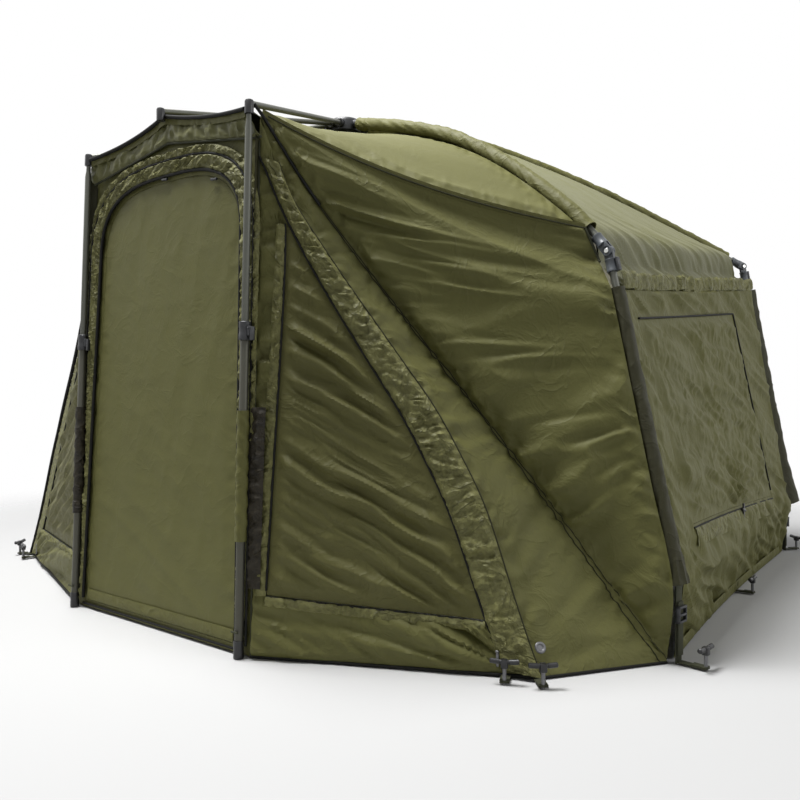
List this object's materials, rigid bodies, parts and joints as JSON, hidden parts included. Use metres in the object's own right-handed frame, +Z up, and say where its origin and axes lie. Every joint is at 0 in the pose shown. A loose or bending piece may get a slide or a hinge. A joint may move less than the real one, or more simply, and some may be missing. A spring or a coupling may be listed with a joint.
{
  "type": "bivvy tent",
  "caption": "Olive bivvy tent: a hub with jointed ribs carries a cloth shelter with a door between telescopic storm poles, windows with drop-down covers, and pegs.",
  "frame": {"origin": "on the ground, under the middle of the shelter's footprint", "axes": "+X across the door to the right hand of someone who faces it from outside, +Y from the door to the back, +Z up"},
  "size_m": [2.6194, 2.3576, 1.605],
  "materials": {
    "cloth": "olive coated woven cloth, a slight sheen, puckered seams",
    "dark_cloth": "darker olive cloth of sleeves and window covers",
    "tube": "grey satin tube",
    "black_plastic": "black moulded plastic, slightly glossy on its edges",
    "peg": "dark grey steel pegs with black grips"
  },
  "bodies": {
    "root": {"peak_rib_right": "tube", "peak_rib_left": "tube", "peak_rib_centre": "tube", "rib_front_right": "tube", "rib_front_left": "tube", "rib_rear_right": "tube", "rib_rear_left": "tube", "storm_pole_lower_right": "tube", "storm_pole_lower_left": "tube", "rib_sleeve_front_right": "dark_cloth", "rib_sleeve_front_left": "dark_cloth", "rib_sleeve_rear_right": "dark_cloth", "rib_sleeve_rear_left": "dark_cloth", "hub_block": "black_plastic", "elbow_socket_front_right": "black_plastic", "elbow_socket_front_left": "black_plastic", "elbow_socket_rear_right": "black_plastic", "elbow_socket_rear_left": "black_plastic", "pole_clamp_right": "black_plastic", "pole_clamp_left": "black_plastic", "peak_canopy": "cloth", "rear_quarter": "cloth", "front_wall": "cloth", "front_quarter_right": "cloth", "front_quarter_left": "cloth", "wing_right": "cloth", "wing_left": "cloth", "side_quarter_right": "cloth", "side_quarter_left": "cloth", "peg_wing_right": "peg", "peg_wing_left": "peg", "peg_front_foot_right": "peg", "peg_front_foot_left": "peg", "peg_side_right": "peg", "peg_side_left": "peg", "peg_rear_foot_right": "peg", "peg_rear_foot_left": "peg"},
    "leg_front_right": {"leg_tube_front_right": "tube", "elbow_knuckle_front_right": "black_plastic", "leg_sleeve_front_right": "dark_cloth"},
    "elbow_lever_front_right_body": {"elbow_lever_front_right": "black_plastic"},
    "leg_front_left": {"leg_tube_front_left": "tube", "elbow_knuckle_front_left": "black_plastic", "leg_sleeve_front_left": "dark_cloth"},
    "elbow_lever_front_left_body": {"elbow_lever_front_left": "black_plastic"},
    "leg_rear_right": {"leg_tube_rear_right": "tube", "elbow_knuckle_rear_right": "black_plastic", "leg_sleeve_rear_right": "dark_cloth"},
    "elbow_lever_rear_right_body": {"elbow_lever_rear_right": "black_plastic"},
    "leg_rear_left": {"leg_tube_rear_left": "tube", "elbow_knuckle_rear_left": "black_plastic", "leg_sleeve_rear_left": "dark_cloth"},
    "elbow_lever_rear_left_body": {"elbow_lever_rear_left": "black_plastic"},
    "upper_pole_right": {"storm_pole_upper_right": "tube"},
    "wing_window_right": {"wing_cover_right": "dark_cloth"},
    "side_window_right": {"side_cover_right": "dark_cloth"},
    "upper_pole_left": {"storm_pole_upper_left": "tube"},
    "wing_window_left": {"wing_cover_left": "dark_cloth"},
    "side_window_left": {"side_cover_left": "dark_cloth"},
    "door": {"door_panel": "cloth"}
  },
  "joints": [
    {"name": "elbow_front_right", "type": "hinge", "parent": "root", "child": "leg_front_right", "pos_m": [1.04029, -0.50869, 1.01], "axis": [0.1357, 0.9907, 0], "range_deg": [0, 75], "deforming": ["front_quarter_right", "side_quarter_right"]},
    {"name": "elbow_lock_front_right", "type": "hinge", "parent": "leg_front_right", "child": "elbow_lever_front_right_body", "pos_m": [1.06488, -0.51206, 0.98912], "axis": [0.1357, 0.9907, 0], "range_deg": [-30, 0]},
    {"name": "elbow_front_left", "type": "hinge", "parent": "root", "child": "leg_front_left", "pos_m": [-1.04029, -0.50869, 1.01], "axis": [0.1357, -0.9907, 0], "range_deg": [0, 75], "deforming": ["front_quarter_left", "side_quarter_left"]},
    {"name": "elbow_lock_front_left", "type": "hinge", "parent": "leg_front_left", "child": "elbow_lever_front_left_body", "pos_m": [-1.06488, -0.51206, 0.98912], "axis": [0.1357, -0.9907, 0], "range_deg": [-30, 0]},
    {"name": "elbow_rear_right", "type": "hinge", "parent": "root", "child": "leg_rear_right", "pos_m": [0.96659, 0.94008, 1.155], "axis": [-0.8039, 0.5948, 0], "range_deg": [0, 55], "deforming": ["side_quarter_right", "rear_quarter"]},
    {"name": "elbow_lock_rear_right", "type": "hinge", "parent": "leg_rear_right", "child": "elbow_lever_rear_right_body", "pos_m": [0.98105, 0.95963, 1.13353], "axis": [-0.8039, 0.5948, 0], "range_deg": [-30, 0]},
    {"name": "elbow_rear_left", "type": "hinge", "parent": "root", "child": "leg_rear_left", "pos_m": [-0.96659, 0.94008, 1.155], "axis": [-0.8039, -0.5948, 0], "range_deg": [0, 55], "deforming": ["side_quarter_left", "rear_quarter"]},
    {"name": "elbow_lock_rear_left", "type": "hinge", "parent": "leg_rear_left", "child": "elbow_lever_rear_left_body", "pos_m": [-0.98105, 0.95963, 1.13353], "axis": [-0.8039, -0.5948, 0], "range_deg": [-30, 0]},
    {"name": "pole_slide_right", "type": "slide", "parent": "root", "child": "upper_pole_right", "axis": [-0.0073, 0.0337, 0.9994], "range_m": [-0.4, 0]},
    {"name": "pole_slide_left", "type": "slide", "parent": "root", "child": "upper_pole_left", "axis": [0.0073, 0.0337, 0.9994], "range_m": [-0.4, 0]},
    {"name": "door_drop", "type": "hinge", "parent": "root", "child": "door", "pos_m": [0, -1.14513, 0.024], "axis": [1, 0, 0], "range_deg": [0, 88]},
    {"name": "wing_window_drop_right", "type": "hinge", "parent": "root", "child": "wing_window_right", "pos_m": [0.42965, -1.12145, 0.15269], "axis": [0.8877, 0.457, -0.0564], "range_deg": [0, 88]},
    {"name": "wing_window_drop_left", "type": "hinge", "parent": "root", "child": "wing_window_left", "pos_m": [-0.44147, -1.12252, 0.15271], "axis": [0.9413, -0.3351, 0.0412], "range_deg": [0, 88]},
    {"name": "side_window_drop_right", "type": "hinge", "parent": "root", "child": "side_window_right", "pos_m": [1.18583, -0.30035, 0.29774], "axis": [-0.066, 0.9971, -0.0375], "range_deg": [0, 88]},
    {"name": "side_window_drop_left", "type": "hinge", "parent": "root", "child": "side_window_left", "pos_m": [-1.18583, -0.30035, 0.29774], "axis": [-0.066, -0.9971, 0.0375], "range_deg": [0, 88]}
  ]
}
